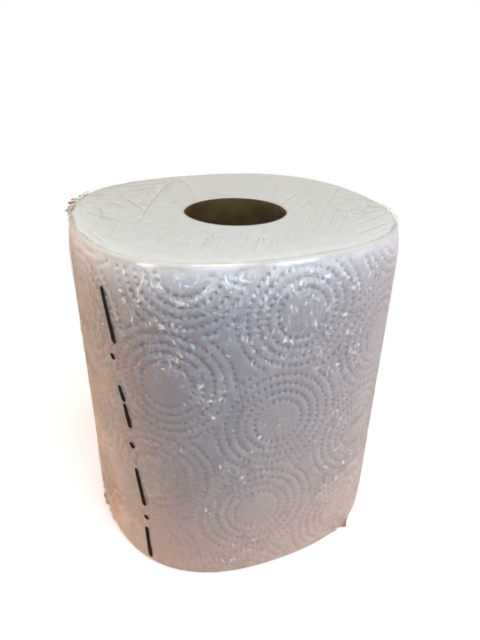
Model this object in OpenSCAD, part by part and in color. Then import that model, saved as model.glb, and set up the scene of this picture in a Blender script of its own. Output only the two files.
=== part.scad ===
// Paper towel roll on a cardboard core, standing on its end and sealed in clear film.
// Millimetres, +Z up, origin at the middle of the base.

/* [Roll] */
// Height of the roll, which is the width of its sheet
roll_h = 200; // [150:1:280]
// Mean diameter of the wound paper
roll_d = 187; // [160:1:240]
// Reach of the four pressed corners beyond the mean circle
corner_swell = 2.9; // [0:0.1:4]
// Direction of the first pressed corner, in degrees
corner_turn = -22.5; // [-45:0.5:45]
// Reach of the long axis beyond the mean circle
oval_swell = 1.8; // [0:0.1:4]
// Direction of the long axis, in degrees
oval_turn = 21.5; // [-90:0.5:90]
// Width of the softened edge around both ends
edge_soft = 1.5; // [0.5:0.1:3]

/* [Turns] */
// Spacing of the turns that show on both ends
turn_pitch = 3; // [2:0.1:8]
// Width of the groove between two turns
turn_gap = 0.6; // [0.3:0.1:1.5]
// Depth of the groove between two turns
turn_depth = 0.5; // [0.2:0.1:2]

/* [Core] */
// Bore of the cardboard core
core_bore = 57; // [40:0.5:80]
// Wall of the cardboard core
core_wall = 1.2; // [0.6:0.1:4]
// Gap between the core and the innermost turn
core_fit = 0.1; // [0.05:0.05:0.5]
// Depth of the core's top edge below the paper
core_recess = 1; // [0:0.1:6]
// Sideways place of the core in the pressed roll
core_x = 2.6; // [-6:0.1:6]
// Front to back place of the core in the pressed roll
core_y = -4.9; // [-6:0.1:6]

/* [Film] */
// Thickness of the film
film_t = 0.3; // [0.2:0.05:1]
// Gap between the film and the paper
film_gap = 0.2; // [0.1:0.05:1]
// Direction of the first side seal, in degrees; the second lies opposite
seal_turn = 175; // [90:1:270]
// Thickness of the side seals
seal_t = 0.6; // [0.3:0.1:2]
// Reach of the side seals beyond the film
seal_out = 0.8; // [0.4:0.1:3]
// Reach of the ears at the ends of the side seals
ear_out = 3; // [1:0.1:6]
// Height of the ears at the ends of the side seals
ear_h = 22; // [10:1:40]

/* [Gathers] */
// Number of folds drawn tight across the top
fold_count = 12; // [4:1:20]
// Longest of the folds across the top
fold_len = 64; // [30:1:90]
// Width of a fold
fold_w = 2.4; // [1:0.1:5]
// Rise of a fold above the film
fold_rise = 0.6; // [0.2:0.1:1.5]
// Lean of the folds across the top, in degrees
fold_lean = 11; // [-30:1:30]
// Number of pleats that fan out from each side seal
pleat_count = 7; // [3:1:9]
// Angle between two pleats, in degrees
pleat_spread = 13; // [6:1:18]

/* [Printed line] */
// Width of the printed strokes
stroke_w = 2.2; // [1:0.1:5]
// Thickness of the printed strokes
stroke_t = 0.1; // [0.05:0.05:0.3]
// Length of a dash
dash_len = 27; // [10:1:35]
// Gap between two dashes
dash_gap = 24; // [15:1:40]
// Length of the dot below a dash
dot_len = 3.4; // [2.4:0.1:8]
// Drop from the end of a dash to the middle of its dot
dot_drop = 9.6; // [5:0.1:12]
// Distance of the first dash below the top
line_top = 17; // [8:1:40]
// Least distance of the last dash above the base
line_foot = 3; // [2:1:30]
// Drop of the middle dashes below even spacing
line_sag = 5; // [0:0.5:6]
// Direction of the line at its first dash, in degrees
line_turn = -128; // [-170:1:-100]
// Turn from one dash to the next, in degrees
line_step = 3; // [0:0.1:6]
// Slant of the first dash, in degrees
dash_slant = 11; // [0:1:15]
// Slant that is lost from one dash to the next, in degrees
slant_ease = 2.5; // [0:0.1:4]

/* [Hidden] */
$fn = 96;
sides = 144;
mean_r = roll_d / 2;
film_out = film_gap + film_t;
roll_z = film_t;
roll_top = roll_z + roll_h;
pack_h = roll_top + film_out;
core_od = core_bore + 2 * core_wall;
core_hole = core_od + 2 * core_fit;
swell = corner_swell + oval_swell;
round_r = mean_r - swell - edge_soft;
turn_first = core_hole / 2 + turn_pitch;
turn_last = round_r - turn_pitch;
turn_count = floor((turn_last - turn_first) / turn_pitch);
fold_span = round_r - fold_len / 2 - fold_w;
pleat_len = fold_len * 0.6;
dash_pitch = dash_len + dash_gap;
dash_count = floor((pack_h - line_top - line_foot + dash_gap) / dash_pitch);
stroke_reach = 4 * swell + 4;

// Reach of the pressed outline beyond its mean circle in direction a
function reach(a) =
    corner_swell * cos(4 * (a - corner_turn)) + oval_swell * cos(2 * (a - oval_turn));

// Plan outline of mean radius r
function outline(r) = [
    for (i = [0 : sides - 1])
        let (a = i * 360 / sides, q = r + reach(a))
        [q * cos(a), q * sin(a)]
];

function ring(r, z) = [for (p = outline(r)) [p[0], p[1], z]];

function mix(a, b, t) = a + (b - a) * t;

// Closed body of the pressed outline, grown by grow, with softened edges
module drum(grow, z_low, z_high) {
    r = mean_r + grow;
    rings = [
        [r - edge_soft, z_low],
        [r, z_low + edge_soft],
        [r, z_high - edge_soft],
        [r - edge_soft, z_high]
    ];
    top = (len(rings) - 1) * sides;
    foot = [for (i = [0 : sides - 1]) i];
    head = [for (i = [sides - 1 : -1 : 0]) top + i];
    walls = [
        for (k = [0 : len(rings) - 2], i = [0 : sides - 1])
            let (j = (i + 1) % sides, low = k * sides, high = low + sides)
            [low + i, high + i, high + j, low + j]
    ];
    polyhedron([for (k = rings) each ring(k[0], k[1])], concat([foot, head], walls));
}

// Grooves between the turns on the end face at height z
module turn_grooves(z) {
    for (k = [0 : turn_count]) {
        t = k / turn_count;
        translate([core_x * (1 - t), core_y * (1 - t), z])
            rotate_extrude()
                translate([mix(turn_first, turn_last, t), 0])
                    square([turn_gap, 2 * turn_depth], center = true);
    }
}

// The whole wound sheet, one solid
module paper_roll() {
    color([0.93, 0.93, 0.92])
        difference() {
            drum(0, roll_z, roll_top);
            translate([core_x, core_y, roll_z - 1])
                cylinder(h = roll_h + 2, d = core_hole);
            turn_grooves(roll_z);
            turn_grooves(roll_top);
        }
}

// The tube that the sheet is wound on
module cardboard_core() {
    color([0.55, 0.41, 0.26])
        translate([core_x, core_y, roll_z])
            difference() {
                cylinder(h = roll_h - core_recess, d = core_od);
                translate([0, 0, -1])
                    cylinder(h = roll_h + 2, d = core_bore);
            }
}

// A side seal that stands out of the film in direction a, with an ear at each end
module side_seal(a) {
    r = mean_r + film_out + reach(a);
    low = edge_soft;
    high = pack_h - edge_soft;
    rotate([0, 0, a])
        rotate([90, 0, 0])
            linear_extrude(height = seal_t, center = true)
                polygon([
                    [r - film_t / 2, low],
                    [r + ear_out, low + ear_h / 4],
                    [r + seal_out, low + ear_h],
                    [r + seal_out, high - ear_h],
                    [r + ear_out, high - ear_h / 4],
                    [r - film_t / 2, high]
                ]);
}

// A slender fold of length l on the top, along Y
module fold(l) {
    translate([0, 0, pack_h - film_t / 2])
        linear_extrude(height = film_t / 2 + fold_rise)
            polygon([[0, -l / 2], [fold_w / 2, 0], [0, l / 2], [-fold_w / 2, 0]]);
}

// Folds drawn tight from front to back, of uneven length and place
module tension_folds() {
    for (i = [0 : fold_count - 1]) {
        x = fold_span * (2 * i / (fold_count - 1) - 1);
        drift = (fold_len / 8) * sin(100 * i);
        translate([x, drift, 0])
            rotate([0, 0, -fold_lean])
                fold(fold_len * (0.8 + 0.2 * cos(140 * i)));
    }
}

// Pleats that fan out over the top from the side seal in direction a
module corner_pleats(a) {
    rotate([0, 0, a])
        for (k = [0 : pleat_count - 1])
            translate([round_r - fold_w, 0, 0])
                rotate([0, 0, 90 + pleat_spread * (k - (pleat_count - 1) / 2)])
                    translate([0, pleat_len / 2, 0])
                        fold(pleat_len * (0.85 + 0.15 * cos(130 * k)));
}

// The closed film bag around the roll
module film_wrap() {
    color([0.86, 0.9, 0.94, 0.3])
        union() {
            difference() {
                drum(film_out, 0, pack_h);
                drum(film_gap, roll_z, roll_top + film_gap);
            }
            for (a = [seal_turn, seal_turn + 180]) {
                side_seal(a);
                corner_pleats(a);
            }
            tension_folds();
        }
}

// A stroke with round ends, length l, at height z and direction a, leaning by slant
module stroke(l, z, a, slant) {
    rotate([0, 0, a])
        translate([mean_r + film_out, 0, z])
            rotate([slant, 0, 0])
                rotate([90, 0, 90])
                    linear_extrude(height = stroke_reach, center = true)
                        union() {
                            square([stroke_w, l - stroke_w], center = true);
                            translate([0, (l - stroke_w) / 2])
                                circle(d = stroke_w);
                            translate([0, -(l - stroke_w) / 2])
                                circle(d = stroke_w);
                        }
}

// Dashes down the side, each with a dot below it where another dash follows
module strokes() {
    for (i = [0 : dash_count - 1]) {
        z = pack_h - line_top - i * dash_pitch - line_sag * sin(180 * i / max(1, dash_count - 1));
        a = line_turn + line_step * i;
        stroke(dash_len, z - dash_len / 2, a + line_step / 2, dash_slant - slant_ease * i);
        if (i < dash_count - 1)
            stroke(dot_len, z - dash_len - dot_drop, a + line_step / 2, dash_slant);
    }
}

// The broken line printed on the outside of the film
module printed_line() {
    color([0.13, 0.1, 0.09])
        intersection() {
            linear_extrude(height = pack_h)
                difference() {
                    polygon(outline(mean_r + film_out + stroke_t));
                    polygon(outline(mean_r + film_out));
                }
            strokes();
        }
}

paper_roll();
cardboard_core();
film_wrap();
printed_line();
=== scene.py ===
"""A wrapped paper towel roll: embossed tissue on a cardboard core, closed in clear film.

Sizes of the pieces are in millimetres, and their meshes are made in metres.
"""

import logging
import math
from collections.abc import Sequence
from dataclasses import dataclass
from enum import Enum
from functools import cached_property

import bpy
import numpy as np
from mathutils import Matrix, Vector
from mathutils.geometry import delaunay_2d_cdt


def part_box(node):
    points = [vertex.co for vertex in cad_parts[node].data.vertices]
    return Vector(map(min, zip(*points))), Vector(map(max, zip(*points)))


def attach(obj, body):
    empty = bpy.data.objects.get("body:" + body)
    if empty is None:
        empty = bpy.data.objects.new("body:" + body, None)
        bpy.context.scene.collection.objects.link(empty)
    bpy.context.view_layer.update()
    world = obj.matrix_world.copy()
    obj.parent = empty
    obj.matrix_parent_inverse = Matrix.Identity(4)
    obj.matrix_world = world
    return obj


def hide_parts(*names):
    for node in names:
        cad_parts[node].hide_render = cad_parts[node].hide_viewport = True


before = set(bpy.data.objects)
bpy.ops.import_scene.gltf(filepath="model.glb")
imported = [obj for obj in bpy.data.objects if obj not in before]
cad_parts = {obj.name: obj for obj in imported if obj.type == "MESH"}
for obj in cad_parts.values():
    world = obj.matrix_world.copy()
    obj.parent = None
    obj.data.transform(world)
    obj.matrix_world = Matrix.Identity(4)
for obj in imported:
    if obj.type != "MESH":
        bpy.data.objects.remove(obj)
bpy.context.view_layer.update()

LOG = logging.getLogger("paper_towel_roll")
MM = 0.001
BODY = "root"
SEED = 7
MERGE_GAP = 0.002
WHOLE_HULL = 0
NEAR_ZERO = 1e-9
FULL_TURN = 2.0 * math.pi
QUARTER_TURN = 0.5 * math.pi
WHITE = (1.0, 1.0, 1.0, 1.0)
Colour = tuple[float, float, float, float]
Triple = tuple[float, float, float]
Pair = tuple[float, float]
Socket = bpy.types.NodeSocket


class Slot(Enum):
    """The record's material slots."""

    PAPER = "paper"
    CARDBOARD = "cardboard"
    FILM = "film"
    INK = "ink"


class Face(Enum):
    """The two ends of the roll."""

    TOP = "top"
    BASE = "base"


def smooth_step(low: float, high: float, value: np.ndarray) -> np.ndarray:
    """Eases from 0 at low to 1 at high.

    Args:
        low: Value at which the result leaves 0.
        high: Value at which the result reaches 1.
        value: The values to ease.

    Returns:
        The eased values.
    """
    t = np.clip((value - low) / (high - low), 0.0, 1.0)
    return t * t * (3.0 - 2.0 * t)


def circle(turns: np.ndarray) -> np.ndarray:
    """Points of the unit circle at turns in radians."""
    return np.stack([np.cos(turns), np.sin(turns)], axis=1)


def grid_points(across: np.ndarray, up: np.ndarray) -> np.ndarray:
    """Plane points of a grid, row after row."""
    return np.stack(np.meshgrid(across, up), axis=2).reshape(-1, 2)


def border_points(across: np.ndarray, up: np.ndarray) -> np.ndarray:
    """Plane points round the border of a grid.

    Args:
        across: Places of the columns.
        up: Heights of the rows.

    Returns:
        The low and the high row, then the first and the last column between them.
    """
    rows = [np.column_stack([across, np.full(len(across), z)]) for z in (up[0], up[-1])]
    columns = [np.column_stack([np.full(len(up) - 2, s), up[1:-1]]) for s in (across[0], across[-1])]
    return np.concatenate(rows + columns)


def thin_out(points: np.ndarray, gap: float, taken: np.ndarray | None = None) -> np.ndarray:
    """Drops plane points that lie nearer than gap to an earlier one or to a taken one.

    Args:
        points: The points in order of rank, two columns.
        gap: Least distance.
        taken: Points that are already there.

    Returns:
        The points that are left.
    """
    cells: dict[tuple[int, int], list[Pair]] = {}
    for x, y in [] if taken is None else taken.tolist():
        cells.setdefault((int(x // gap), int(y // gap)), []).append((x, y))
    kept = []
    for x, y in points.tolist():
        i, j = int(x // gap), int(y // gap)
        near = [q for a in (i - 1, i, i + 1) for b in (j - 1, j, j + 1) for q in cells.get((a, b), ())]
        if all((x - u) ** 2 + (y - v) ** 2 >= gap * gap for u, v in near):
            kept.append((x, y))
            cells.setdefault((i, j), []).append((x, y))
    return np.array(kept).reshape(-1, 2)


def triangulate(points: np.ndarray) -> tuple[np.ndarray, np.ndarray]:
    """Joins points on a plane with triangles.

    Args:
        points: Plane points, two columns.

    Returns:
        The index of the given point behind each vertex, and the triangles.
    """
    coords = [Vector(p) for p in points.tolist()]
    _, _, faces, sources, _, _ = delaunay_2d_cdt(coords, [], [], WHOLE_HULL, NEAR_ZERO)
    return np.array([s[0] for s in sources]), np.array(faces)


def ring_faces(columns: int, rows: int, first: int = 0) -> np.ndarray:
    """Quads between closed rings that lie one after another.

    Args:
        columns: Points on each ring.
        rows: Number of rings.
        first: Index of the first ring's first point.

    Returns:
        The quads' corner indices.
    """
    i = np.arange(columns)
    j = (i + 1) % columns
    low = [first + k * columns for k in range(rows - 1)]
    return np.concatenate([np.stack([a + i, a + j, a + columns + j, a + columns + i], axis=1) for a in low])


def deselect_all() -> None:
    """Leaves nothing selected, so that operators act on the new piece alone."""
    bpy.ops.object.select_all(action="DESELECT")


def make_active(piece: bpy.types.Object) -> None:
    """Selects one piece and makes it the active one.

    Args:
        piece: The piece.
    """
    deselect_all()
    piece.select_set(True)
    bpy.context.view_layer.objects.active = piece


def face_outwards(piece: bpy.types.Object) -> None:
    """Merges doubled points and turns the faces outwards.

    Args:
        piece: The piece.
    """
    make_active(piece)
    bpy.ops.object.mode_set(mode="EDIT")
    bpy.ops.mesh.select_all(action="SELECT")
    bpy.ops.mesh.remove_doubles(threshold=MERGE_GAP * MM)
    bpy.ops.mesh.normals_make_consistent(inside=False)
    bpy.ops.object.mode_set(mode="OBJECT")


def new_piece(
    name: str, points: np.ndarray, faces: Sequence[np.ndarray], mark: str, marks: np.ndarray
) -> bpy.types.Object:
    """Makes a smooth mesh piece with one value at each point.

    Args:
        name: Name of the piece.
        points: Vertex places in millimetres, three columns.
        faces: Arrays of corner indices, triangles or quads.
        mark: Name of the value that the finish reads.
        marks: The value at each point.

    Returns:
        The new piece, selected and active.
    """
    mesh = bpy.data.meshes.new(name)
    mesh.from_pydata((points * MM).tolist(), [], [f for part in faces for f in part.tolist()])
    layer = mesh.attributes.new(mark, "FLOAT", "POINT")
    layer.data.foreach_set("value", marks.astype(np.float32))
    piece = bpy.data.objects.new(name, mesh)
    bpy.context.scene.collection.objects.link(piece)
    face_outwards(piece)
    bpy.ops.object.shade_smooth()
    return piece


def thicken(piece: bpy.types.Object, name: str, thickness: float, offset: float) -> None:
    """Adds the modifier that gives a skin its thickness.

    Args:
        piece: The skin.
        name: Name of the modifier.
        thickness: Thickness in millimetres.
        offset: -1 to grow inwards, 0 to grow both ways.
    """
    skin = piece.modifiers.new(name, "SOLIDIFY")
    skin.thickness = thickness * MM
    skin.offset = offset


def apply_modifiers(piece: bpy.types.Object) -> None:
    """Applies every modifier of a piece in order.

    Args:
        piece: The piece.
    """
    make_active(piece)
    for modifier in list(piece.modifiers):
        bpy.ops.object.modifier_apply(modifier=modifier.name)


def hand_over(piece: bpy.types.Object, node: str, material: bpy.types.Material) -> None:
    """Dresses a piece and lets it ride on the roll's body in place of a CAD node.

    Args:
        piece: The finished piece.
        node: The CAD node that the piece stands for.
        material: The finish.
    """
    piece.data.materials.append(material)
    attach(piece, BODY)
    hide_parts(node)
    LOG.info("%s: %d faces in place of %s", piece.name, len(piece.data.polygons), node)


@dataclass(frozen=True)
class RollForm:
    """Form of the roll: a circle pressed a little square and a little oval, with soft shoulders.

    Places round it are given as arc lengths from the middle of the front, positive to the right.
    """

    low: float
    high: float
    mean_r: float = 93.5
    corner_swell: float = 2.9
    corner_turn: float = math.radians(-22.5)
    oval_swell: float = 1.8
    oval_turn: float = math.radians(21.5)
    shoulder_in: float = 2.5
    shoulder_h: float = 22.0
    foot_in: float = 0.8
    core_place: Pair = (2.6, -4.9)
    samples: int = 2880

    def radius(self, angle: np.ndarray) -> np.ndarray:
        """Distance of the outline from the axis.

        Args:
            angle: Directions in radians.

        Returns:
            The distance in each direction.
        """
        corners = self.corner_swell * np.cos(4.0 * (angle - self.corner_turn))
        oval = self.oval_swell * np.cos(2.0 * (angle - self.oval_turn))
        return self.mean_r + corners + oval

    def inset(self, z: np.ndarray | float) -> np.ndarray:
        """Distance by which the shoulder and the foot draw in.

        Args:
            z: Heights.

        Returns:
            The distance at each height.
        """
        top = np.clip((z - self.high + self.shoulder_h) / self.shoulder_h, 0.0, 1.0)
        foot = np.clip((self.low + self.shoulder_h - z) / self.shoulder_h, 0.0, 1.0)
        return self.shoulder_in * top**2 + self.foot_in * foot**2

    def points(self, angle: np.ndarray, z: np.ndarray | float, grow: np.ndarray | float) -> np.ndarray:
        """Points of the side.

        Args:
            angle: Directions in radians.
            z: Heights.
            grow: Distance outwards from the paper's face.

        Returns:
            The points, three columns.
        """
        r = self.radius(angle) + grow - self.inset(z)
        return np.column_stack([r * np.cos(angle), r * np.sin(angle), z + 0.0 * angle])

    def rim(
        self, angle: np.ndarray, edge: float, turn_in: float, shares: Sequence[float],
        grow: float = 0.0, ear: np.ndarray | float = 0.0,
    ) -> list[np.ndarray]:
        """Rings that turn in from the side to an end.

        Args:
            angle: Directions of the columns.
            edge: Height at which the side stops.
            turn_in: Radius of the turn, negative at the base.
            shares: Shares of the turn, from 0 at the side to 1 at the end.
            grow: Distance outwards from the paper's face.
            ear: Reach of the ears beyond the rim.

        Returns:
            The rings, from the side to the end.
        """
        rings = []
        for t in shares:
            inset = abs(turn_in) * (1.0 - math.cos(t * QUARTER_TURN))
            ring = self.points(angle, edge, grow - inset + ear * math.sin(math.pi * t))
            ring[:, 2] += turn_in * math.sin(t * QUARTER_TURN)
            rings.append(ring)
        return rings

    @cached_property
    def table(self) -> tuple[np.ndarray, np.ndarray]:
        """Way round the outline, from the back to the back.

        Returns:
            Directions, and the arc lengths at which they lie.
        """
        angle = np.linspace(-1.5 * math.pi, 0.5 * math.pi, self.samples + 1)
        outline = self.radius(angle)[:, None] * circle(angle)
        arc = np.concatenate([[0.0], np.cumsum(np.linalg.norm(np.diff(outline, axis=0), axis=1))])
        return angle, arc - np.interp(-0.5 * math.pi, angle, arc)

    @property
    def ends(self) -> Pair:
        """Arc lengths of the seam at the back, from the left and from the right."""
        return float(self.table[1][0]), float(self.table[1][-1])

    def angle_at(self, arc: np.ndarray) -> np.ndarray:
        """Direction at each arc length."""
        return np.interp(arc, self.table[1], self.table[0])

    def arc_at(self, degrees: float) -> float:
        """Arc length at a direction between -270 and 90 degrees."""
        return float(np.interp(math.radians(degrees), *self.table))

    def columns(self, count: int) -> np.ndarray:
        """Directions of evenly spaced columns, from the back round to the back."""
        return self.angle_at(np.linspace(*self.ends, count + 1)[:-1])

    def wrap(self, flat: np.ndarray, lift: np.ndarray) -> np.ndarray:
        """Lays points of the unrolled side, as arc length and height, onto the roll."""
        return self.points(self.angle_at(flat[:, 0]), flat[:, 1], lift)


@dataclass(frozen=True)
class Emboss:
    """Rings of pressed dots round plain centres, repeated on a leaning grid of the unrolled side."""

    first: Pair = (37.8, 172.8)
    across: Pair = (57.0, -26.0)
    down: Pair = (-10.0, -61.0)
    ring_r: float = 13.2
    ring_pitch: float = 5.1
    ring_count: int = 5
    dot_pitch: float = 3.5
    dot_r: float = 1.2
    dot_depth: float = 0.8
    dot_sides: int = 6
    pillow: float = 0.1
    dots_apart: float = 2.8
    crowns_apart: float = 2.2
    reach: int = 9

    @cached_property
    def centres(self) -> np.ndarray:
        """Centres of the ring groups, well past the sheet's edges.

        Returns:
            The centres, two columns.
        """
        steps = range(-self.reach, self.reach + 1)
        a, d = np.array(self.across), np.array(self.down)
        return np.array(self.first) + np.array([i * a + j * d for i in steps for j in steps])

    def nearest(self, points: np.ndarray) -> tuple[np.ndarray, np.ndarray]:
        """Finds the nearest centre to each point.

        Args:
            points: Points of the unrolled side.

        Returns:
            The centre's index, and its distance.
        """
        gaps = np.linalg.norm(points[:, None, :] - self.centres[None, :, :], axis=2)
        index = gaps.argmin(axis=1)
        return index, gaps[np.arange(len(points)), index]

    def rings(self, radii: Sequence[float], low: np.ndarray, high: np.ndarray, shift: float) -> np.ndarray:
        """Points round every centre, on the ground that belongs to it.

        Args:
            radii: Radii of the rings, in order of rank.
            low: Lower corner of the sheet.
            high: Upper corner of the sheet.
            shift: Turn of every second ring, in steps.

        Returns:
            The points, two columns.
        """
        parts = []
        for k, r in enumerate(radii):
            count = round(FULL_TURN * r / self.dot_pitch)
            ring = r * circle((np.arange(count) + shift * (k % 2)) * FULL_TURN / count)
            every = (self.centres[:, None, :] + ring[None, :, :]).reshape(-1, 2)
            owner = np.repeat(np.arange(len(self.centres)), count)
            inside = ((every > low) & (every < high)).all(axis=1)
            every, owner = every[inside], owner[inside]
            parts.append(every[self.nearest(every)[0] == owner])
        return np.concatenate(parts)

    def dots(self, low: np.ndarray, high: np.ndarray) -> np.ndarray:
        """Centres of the pressed dots between two corners of the sheet."""
        radii = [self.ring_r + k * self.ring_pitch for k in range(self.ring_count)]
        return thin_out(self.rings(radii, low, high, 0.5), self.dots_apart)

    def crowns(self, low: np.ndarray, high: np.ndarray, dots: np.ndarray) -> np.ndarray:
        """Points of the raised paper between the rings, clear of the dots."""
        radii = [self.ring_r + (k - 0.5) * self.ring_pitch for k in range(self.ring_count + 1)]
        return thin_out(self.rings(radii, low, high, 0.0), self.crowns_apart, dots)

    def swell(self, points: np.ndarray) -> np.ndarray:
        """Height of the paper between the rings, nothing on a ring.

        Args:
            points: Points of the unrolled side.

        Returns:
            The height at each point.
        """
        phase = (self.nearest(points)[1] - self.ring_r) / self.ring_pitch
        plain = (phase < -0.5) | (phase > self.ring_count - 0.5)
        return self.pillow * np.where(plain, 1.0, 0.5 - 0.5 * np.cos(FULL_TURN * phase))


class NodeMaker:
    """Adds and links shader nodes in one tree."""

    def __init__(self, tree: bpy.types.NodeTree) -> None:
        """Starts with an empty tree."""
        self.tree = tree
        tree.nodes.clear()

    def add(self, kind: str, **inputs: object) -> bpy.types.Node:
        """Adds a node and sets or links its inputs.

        Args:
            kind: Type name of the node after ShaderNode.
            **inputs: Inputs by name with underscores for spaces, as values or sockets.

        Returns:
            The new node.
        """
        node = self.tree.nodes.new("ShaderNode" + kind)
        for name, value in inputs.items():
            self.feed(node.inputs[name.replace("_", " ")], value)
        return node

    def feed(self, socket: Socket, value: object) -> None:
        """Links an input to a socket, or sets its value.

        Args:
            socket: The input.
            value: A socket or a plain value.
        """
        if isinstance(value, Socket):
            self.tree.links.new(value, socket)
        else:
            socket.default_value = value

    def math(self, operation: str, *values: object) -> Socket:
        """Adds a Math node.

        Args:
            operation: Name of the operation.
            *values: Sockets or numbers.

        Returns:
            The result.
        """
        node = self.add("Math")
        node.operation = operation
        for socket, value in zip(node.inputs, values):
            self.feed(socket, value)
        return node.outputs[0]

    def rest(self, value: object) -> Socket:
        """What a value leaves of 1."""
        return self.math("SUBTRACT", 1.0, value)

    def vector(self, operation: str, first: object, second: object = None) -> Socket:
        """Adds a Vector Math node.

        Args:
            operation: Name of the operation.
            first: A socket or a vector.
            second: A socket, a vector, or the factor of a scaling.

        Returns:
            The result's vector.
        """
        node = self.add("VectorMath")
        node.operation = operation
        self.feed(node.inputs[0], first)
        if second is not None:
            self.feed(node.inputs["Scale"] if operation == "SCALE" else node.inputs[1], second)
        return node.outputs["Vector"]

    def length(self, vector: Socket) -> Socket:
        """Measures a vector.

        Args:
            vector: The vector.

        Returns:
            Its length.
        """
        node = self.add("VectorMath", Vector=vector)
        node.operation = "LENGTH"
        return node.outputs["Value"]

    def place(self) -> Socket:
        """Place on the object."""
        return self.add("TexCoord").outputs["Object"]

    def height(self, place: Socket) -> Socket:
        """Height of a place."""
        return self.add("SeparateXYZ", Vector=place).outputs["Z"]

    def mark(self, name: str) -> Socket:
        """Reads the value that the mesh holds at its points.

        Args:
            name: Name of the value.

        Returns:
            The value.
        """
        node = self.add("Attribute")
        node.attribute_name = name
        return node.outputs["Fac"]

    def blend(self, share: object, first: object, second: object) -> Socket:
        """Mixes two colours.

        Args:
            share: Share of the second colour.
            first: The first colour.
            second: The second colour.

        Returns:
            The mixed colour.
        """
        node = self.add("Mix")
        node.data_type = "RGBA"
        self.feed(node.inputs["Factor"], share)
        self.feed(next(s for s in node.inputs if s.identifier == "A_Color"), first)
        self.feed(next(s for s in node.inputs if s.identifier == "B_Color"), second)
        return next(s for s in node.outputs if s.identifier == "Result_Color")

    def spread(self, value: Socket, low: float, high: float, to: float = 1.0) -> Socket:
        """Stretches a value between low and high to a range from 0."""
        return self.add("MapRange", Value=value, From_Min=low, From_Max=high, To_Max=to).outputs[0]

    def layer(self, share: object, first: bpy.types.Node, second: bpy.types.Node) -> bpy.types.Node:
        """Mixes two shaders.

        Args:
            share: Share of the second shader.
            first: The first shader.
            second: The second shader.

        Returns:
            The mixed shader.
        """
        node = self.add("MixShader")
        for socket, value in zip(node.inputs, (share, first.outputs[0], second.outputs[0])):
            self.feed(socket, value)
        return node

    def total(self, *shaders: bpy.types.Node) -> bpy.types.Node:
        """Adds two shaders up.

        Args:
            *shaders: The two shaders.

        Returns:
            Their sum.
        """
        node = self.add("AddShader")
        for socket, shader in zip(node.inputs, shaders):
            self.feed(socket, shader.outputs[0])
        return node

    def end(self, kind: str, shader: bpy.types.Node) -> None:
        """Adds the tree's output."""
        self.add(kind, Surface=shader.outputs[0])


def new_material(name: str) -> tuple[bpy.types.Material, NodeMaker]:
    """Makes an empty node material.

    Args:
        name: Name of the material.

    Returns:
        The material, and the maker of its nodes.
    """
    material = bpy.data.materials.new(name)
    material.use_nodes = True
    return material, NodeMaker(material.node_tree)


def fibre_group() -> bpy.types.NodeTree:
    """The fibre grain of tissue and board: a mask of clumps and a height of single fibres.

    Returns:
        The node group, made once.
    """
    name = "fibre_grain"
    if name in bpy.data.node_groups:
        return bpy.data.node_groups[name]
    tree = bpy.data.node_groups.new(name, "ShaderNodeTree")
    tree.interface.new_socket("Vector", in_out="INPUT", socket_type="NodeSocketVector")
    tree.interface.new_socket("Scale", in_out="INPUT", socket_type="NodeSocketFloat")
    for output in ("Clumps", "Height"):
        tree.interface.new_socket(output, in_out="OUTPUT", socket_type="NodeSocketFloat")
    make = NodeMaker(tree)
    given = tree.nodes.new("NodeGroupInput")
    result = tree.nodes.new("NodeGroupOutput")
    vector, scale = given.outputs["Vector"], given.outputs["Scale"]
    clump_scale = make.math("MULTIPLY", scale, 0.2)
    clumps = make.add("TexNoise", Vector=vector, Scale=clump_scale, Detail=4.0)
    fibres = make.add("TexNoise", Vector=vector, Scale=scale, Detail=4.0, Roughness=0.7, Distortion=1.2)
    make.feed(result.inputs["Clumps"], clumps.outputs["Fac"])
    make.feed(result.inputs["Height"], fibres.outputs["Fac"])
    return tree


def add_fibres(make: NodeMaker, vector: Socket, scale: float) -> bpy.types.Node:
    """Adds the fibre group to a material's tree.

    Args:
        make: The material's node maker.
        vector: Place on the object.
        scale: Scale of the single fibres.

    Returns:
        The group's node.
    """
    node = make.add("Group")
    node.node_tree = fibre_group()
    make.feed(node.inputs["Vector"], vector)
    make.feed(node.inputs["Scale"], scale)
    return node


@dataclass(frozen=True)
class TissueFinish:
    """Soft white tissue, greyer in its fibre clumps, and greyed in the pressed dots as painted shade."""

    colour: Colour = (0.86, 0.86, 0.85, 1.0)
    # Grey of the fibre clumps, also used as painted shade in the pressed dots.
    clump_grey_and_pit_shade: Colour = (0.74, 0.74, 0.745, 1.0)
    mark: str = "pressed"
    # Share of painted shade greying the pressed dots.
    pit_shade_share: float = 0.3
    fibre_scale: float = 900.0
    clump_span: Pair = (0.3, 0.7)
    clump_share: float = 0.5
    grain: float = 0.7
    grain_depth: float = 0.15

    def material(self) -> bpy.types.Material:
        """Builds the material.

        Returns:
            The material.
        """
        material, make = new_material("white_tissue")
        fibres = add_fibres(make, make.place(), self.fibre_scale)
        clumps = make.spread(fibres.outputs["Clumps"], *self.clump_span, self.clump_share)
        # Painted shade: the pressed dots are greyed as if shade lay in them.
        pressed = make.math("MULTIPLY", make.mark(self.mark), self.pit_shade_share)
        colour = make.blend(make.math("MAXIMUM", pressed, clumps), self.colour, self.clump_grey_and_pit_shade)
        depth = self.grain_depth * MM
        bump = make.add("Bump", Strength=self.grain, Distance=depth, Height=fibres.outputs["Height"])
        shader = make.add(
            "BsdfPrincipled", Base_Color=colour, Roughness=0.95, Specular_IOR_Level=0.15,
            Normal=bump.outputs["Normal"],
        )
        make.end("OutputMaterial", shader)
        return material


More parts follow.
